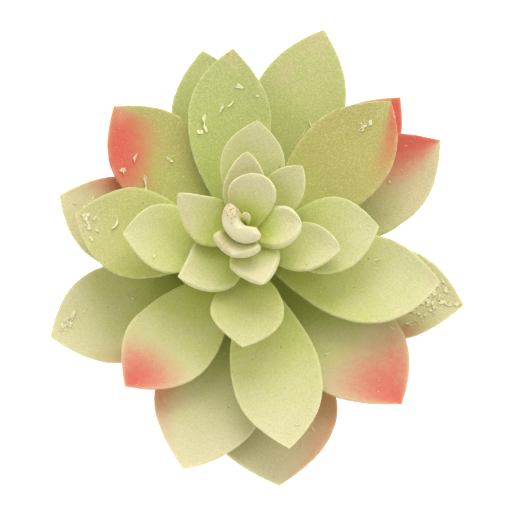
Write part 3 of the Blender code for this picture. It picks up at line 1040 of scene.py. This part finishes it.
dress(shader, colour, grain, 0.12 * MM, 0.8, Roughness=minus(0.88, times(damp, 0.2)), Specular=0.3)
show("clay_pot", pot_mesh, fired_clay, "clay", "pot")
print("clay finish:", len(tree.nodes), "nodes")

# %% [markdown]
# ## The soil
#
# Succulents are potted in a gritty mix: crumbs of peat and bark, pale pumice and white perlite, so
# that water runs straight through. The mix is made in two parts. One closed body fills the pot, with
# an uneven top and a socket for the stem. Over it lie loose grains, each a little faceted stone
# pressed partly into the surface. Scattering instances would be quicker to set up, but real meshes
# keep their shapes when the plant is sent to another program.

# %% The body of the soil
STEM_X, STEM_Y = PIVOT.x, PIVOT.y
SOIL_AROUND = 200
SOIL_STEP = 0.7 * MM
SOIL_GAP = 0.3 * MM
SOCKET = STEM_RADIUS + SOIL_GAP
SOIL_CROWN = 1.2 * MM
CLOD = 0.75 * MM
soil_edge = soil_high.z - SOIL_CROWN
soil_foot = soil_low.z
socket_foot = stem_low.z - SOIL_GAP


def soil_rings():
    """Each ring from the socket's foot over the top to the bottom. Its share is 0 on a circle round the
    stem and 1 on one round the pot's axis. Its height, that outer radius, and its roughness follow."""
    top_width = inner_radius(soil_edge) - SOIL_GAP
    for k in range(8):
        yield 0.0, socket_foot + (soil_high.z - socket_foot) * k / 8, SOCKET, 0.0
    count = round((top_width - SOCKET) / SOIL_STEP)
    for k in range(count + 1):
        share = k / count
        crown = SOIL_CROWN * (1.0 - share * share)
        yield share, soil_edge + crown, top_width, min(1.0, 6.0 * (1.0 - share) + 0.35)
    for k in range(1, 13):
        height = soil_edge + (soil_foot - soil_edge) * k / 12
        yield 1.0, height, inner_radius(max(height, POT_FLOOR + EDGE)) - 2.0 * SOIL_GAP, 0.0
    for share in (0.7, 0.4, 0.1):
        yield share, soil_foot, inner_radius(POT_FLOOR + EDGE) - 2.0 * SOIL_GAP, 0.0


def clods(place):
    """The relief of the surface: clods, and the crumbs on them."""
    relief = noise.noise(place / (3.4 * MM)) + 0.55 * noise.noise(place / (1.5 * MM))
    return CLOD * (relief + 0.3 * noise.noise(place / (0.7 * MM)))


points, rings = [], 0
for share, height, outer, rough in soil_rings():
    rings += 1
    for step in range(SOIL_AROUND):
        way = spoke(FULL_TURN * step / SOIL_AROUND)
        place = (Vector((STEM_X, STEM_Y, 0.0)) + way * SOCKET).lerp(way * outer, share)
        place.z = height
        if rough:
            place.z += rough * (clods(place) - 0.35 * CLOD)
        points.append(place)
points.append(Vector((STEM_X, STEM_Y, socket_foot)))
points.append(Vector((0.0, 0.0, soil_foot)))
soil_mesh = skin_mesh("potting_mix", points, tube_faces(rings, SOIL_AROUND, True))
print("soil:", len(soil_mesh.polygons), "faces,", round(volume_ml(soil_mesh), 1), "ml")

# %% Loose grains
GRAIN_RINGS = ((0.55, 0.8), (0.92, 0.38), (1.0, -0.08), (0.8, -0.58), (0.45, -0.86))
GRAIN_AROUND = 9
# how many, smallest and largest radius in millimetres, and how flat
GRAINS = {"pumice_grit": (150, 0.6, 1.5, 0.2), "perlite_beads": (60, 0.5, 1.2, 0.1),
          "bark_crumbs": (240, 0.5, 1.9, 0.45)}
draw = random.Random(23)


def add_grain(heap, middle, radius, flatness, seed):
    """One stone or crumb: rings round a centre, each point pushed in or out by the stone's own noise."""
    turn = Matrix.Rotation(seed, 3, "Z") @ Matrix.Rotation(0.5 * math.sin(seed), 3, "X")
    stretch = 1.0 + 0.35 * math.sin(3.0 * seed)
    points = []
    for reach, rise in list(GRAIN_RINGS) + [(0.0, 1.0), (0.0, -1.0)]:
        for step in range(GRAIN_AROUND if reach else 1):
            angle = FULL_TURN * step / GRAIN_AROUND
            way = Vector((reach * math.cos(angle), reach * math.sin(angle), rise))
            uneven = 1.0 + 0.42 * noise.noise(way * 1.6 + Vector((seed, 0.0, 0.0)))
            way = Vector((way.x * stretch, way.y / stretch, way.z * (1.0 - flatness))) * uneven
            points.append(middle + turn @ way * radius)
    heap.add(points, tube_faces(len(GRAIN_RINGS), GRAIN_AROUND, True))


grain_meshes = {}
for name, (count, smallest, largest, flatness) in GRAINS.items():
    heap = Heap()
    while count:
        way, share = spoke(draw.uniform(0.0, FULL_TURN)), math.sqrt(draw.random())
        radius = (smallest + (largest - smallest) * draw.random() ** 2.0) * MM
        place = way * share * (inner_radius(soil_edge) - SOIL_GAP - 1.1 * radius)
        if math.hypot(place.x - STEM_X, place.y - STEM_Y) < STEM_RADIUS + 1.4 * radius:
            continue
        crown = SOIL_CROWN * (1.0 - share * share)
        place.z = soil_edge + crown + clods(place) - 0.35 * CLOD + 0.15 * radius
        add_grain(heap, place, radius, flatness, draw.uniform(0.0, 40.0))
        count -= 1
    grain_meshes[name] = heap.mesh(name)
    print(name, len(grain_meshes[name].polygons), "faces")

# %% Soil finishes
EARTH_DARK = (0.030, 0.018, 0.010)
EARTH_DRY = (0.13, 0.085, 0.055)
GRIT_TONES = {
    "pumice_grit": ((0.42, 0.37, 0.3), (0.62, 0.57, 0.48)),
    "perlite_beads": ((0.74, 0.73, 0.7), (0.88, 0.87, 0.84)),
    "bark_crumbs": ((0.060, 0.030, 0.014), (0.22, 0.12, 0.06)),
}


def gritty_finish(name, dark, pale, size):
    """A dull mineral or earth finish with grain of this size."""
    made, tree, shader = node_material(name)
    coarse = noise_node(tree, 4.0 * size, 4.0, 0.6)
    grain = noise_node(tree, size, 4.0, 0.75)
    colour = mix(ramp(coarse, 0.38, 0.66), dark, pale)
    pit = times(ramp(grain, 0.52, 0.75), 0.5)
    colour = mix(pit, colour, tuple(0.45 * c for c in dark))
    dress(shader, colour, grain, 0.5 * size, 0.9, Roughness=0.95, Specular=0.2)
    return made


moist_earth = gritty_finish("moist_earth", EARTH_DARK, EARTH_DRY, 0.6 * MM)
show("potting_mix", soil_mesh, moist_earth, "soil", "soil")
for name, mesh in grain_meshes.items():
    show(name, mesh, gritty_finish(name + "_skin", *GRIT_TONES[name], 0.35 * MM), "soil")
print("soil finishes:", 1 + len(GRIT_TONES))

# %% [markdown]
# ## The stem
#
# The stem is short and hidden, but from the side it shows between the soil and the lowest leaves. It
# is woody at the foot and green where it still grows, wrinkled lengthwise, and ringed by the scars of
# leaves that have dropped. Each scar is a shallow crescent with a raised lip, and they climb in the
# same spiral as the leaves. They could be painted, but a lip only a third of a millimetre high still
# breaks up the outline, so it is pushed out of the mesh.

# %% The stem's skin
STEM_AROUND = 96
STEM_RING_STEP = 0.4 * MM
GOLDEN_TURN = math.radians(137.5)
SCAR_WIDE = 2.6 * MM
SCAR_TALL = 1.0 * MM
SCAR_LIP = 0.32 * MM
# depth in millimetres, how many round the stem, and how long in millimetres
WRINKLES = ((0.16, 3.2, 5.0), (0.08, 9.0, 2.0))
stem_foot, stem_top = stem_low.z, stem_high.z
SCARS = [(k * GOLDEN_TURN, soil_high.z + (0.8 + 0.75 * k) * MM) for k in range(14)]


def bark(radius, height, turn):
    """A point of the stem, with its wrinkles and leaf scars."""
    relief = 0.0
    for depth, wrinkles, run in WRINKLES:
        place = (wrinkles * math.cos(turn), wrinkles * math.sin(turn), height / (run * MM))
        relief += depth * MM * noise.noise(Vector(place))
    for scar_turn, scar_height in SCARS:
        beside = (turn - scar_turn + math.pi) % FULL_TURN - math.pi
        away = math.hypot(beside * radius / SCAR_WIDE, (height - scar_height) / SCAR_TALL)
        lip, hollow = math.exp(-((away - 1.0) / 0.28) ** 2), math.exp(-(away / 0.7) ** 2)
        relief += SCAR_LIP * (lip - 0.5 * hollow)
    reach = radius + relief * min(1.0, radius / (2.0 * MM))
    return Vector((STEM_X + reach * math.cos(turn), STEM_Y + reach * math.sin(turn), height))


stem_line = [(STEM_RADIUS - 0.8 * MM, stem_foot), (STEM_RADIUS - 0.2 * MM, stem_foot + 0.4 * MM)]
count = round((stem_top - stem_foot) / STEM_RING_STEP)
for k in range(3, count):
    height = stem_foot + (stem_top - stem_foot) * k / count
    stem_line.append((max(stem_radius(height), 0.9 * STEM_TOP_RADIUS), height))
stem_line.append((0.6 * STEM_TOP_RADIUS, stem_top))
points = [bark(r, z, FULL_TURN * step / STEM_AROUND) for r, z in stem_line for step in range(STEM_AROUND)]
points += [Vector((STEM_X, STEM_Y, stem_foot)), Vector((STEM_X, STEM_Y, stem_top))]
stem_mesh = skin_mesh("scarred_stem", points, tube_faces(len(stem_line), STEM_AROUND))
print("stem:", len(stem_mesh.polygons), "faces,", round(volume_ml(stem_mesh), 2), "ml")

# %% Stem finish
BARK_BROWN = (0.26, 0.17, 0.09)
BARK_PALE = (0.46, 0.37, 0.22)
STEM_GREEN = (0.44, 0.48, 0.14)

stem_bark, tree, shader = node_material("stem_bark")
flecks = noise_node(tree, 0.5 * MM, 4.0, 0.7)
blotch = noise_node(tree, 2.6 * MM, 3.0)
colour = mix(ramp(flecks, 0.36, 0.66), BARK_BROWN, BARK_PALE)
green = plus(height_in(tree), times(blotch, 6.0 * MM))
colour = mix(ramp(green, soil_high.z + 7.0 * MM, soil_high.z + 17.0 * MM), colour, STEM_GREEN)
colour = mix(times(ramp(flecks, 0.6, 0.8), 0.4), colour, PALE_BLOOM)
dress(shader, colour, flecks, 0.1 * MM, 0.8, Roughness=0.8)
show("scarred_stem", stem_mesh, stem_bark, "stem", "stem")
print("stem finish:", len(tree.nodes), "nodes")
